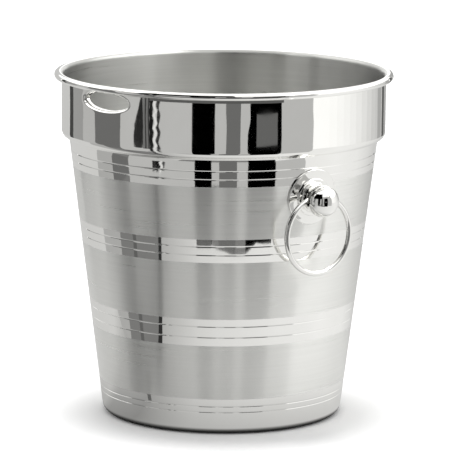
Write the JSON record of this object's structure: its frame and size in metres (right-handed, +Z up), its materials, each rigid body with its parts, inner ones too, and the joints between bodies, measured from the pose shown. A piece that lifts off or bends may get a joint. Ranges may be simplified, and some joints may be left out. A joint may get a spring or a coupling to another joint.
{
  "type": "champagne bucket",
  "caption": "Round tapered bucket with a straight collar, rolled rim, oval collar slot and engraved lines, with a ring handle hanging from a ball knob on each side.",
  "frame": {"origin": "centre of the foot, on the surface the bucket stands on", "axes": "+Z up through the mouth, +X out through one handle's knob, and the collar's slot close to -Y"},
  "size_m": [0.2364, 0.22, 0.224],
  "materials": {
    "brushed_silver": "satin, brushed round the wall, with mirror-polished collar and bands",
    "polished_silver": "mirror polished",
    "fastener_steel": "turned stainless steel",
    "seal_rubber": "matt black rubber"
  },
  "bodies": {
    "bucket": {"bucket_shell": "brushed_silver", "right_escutcheon": "polished_silver", "left_escutcheon": "polished_silver", "right_knob": "polished_silver", "left_knob": "polished_silver", "right_seal": "seal_rubber", "left_seal": "seal_rubber", "right_washer": "fastener_steel", "left_washer": "fastener_steel", "right_cap_nut": "fastener_steel", "left_cap_nut": "fastener_steel"},
    "right_ring": {"right_ring": "polished_silver"},
    "left_ring": {"left_ring": "polished_silver"}
  },
  "joints": [
    {"name": "right_ring_swing", "type": "hinge", "parent": "bucket", "child": "right_ring", "pos_m": [0.10362, 0, 0.15417], "axis": [0, -1, 0], "range_deg": [-12.5, 175.5]},
    {"name": "left_ring_swing", "type": "hinge", "parent": "bucket", "child": "left_ring", "pos_m": [-0.10362, 0, 0.15417], "axis": [0, 1, 0], "range_deg": [-12.5, 175.5]}
  ]
}
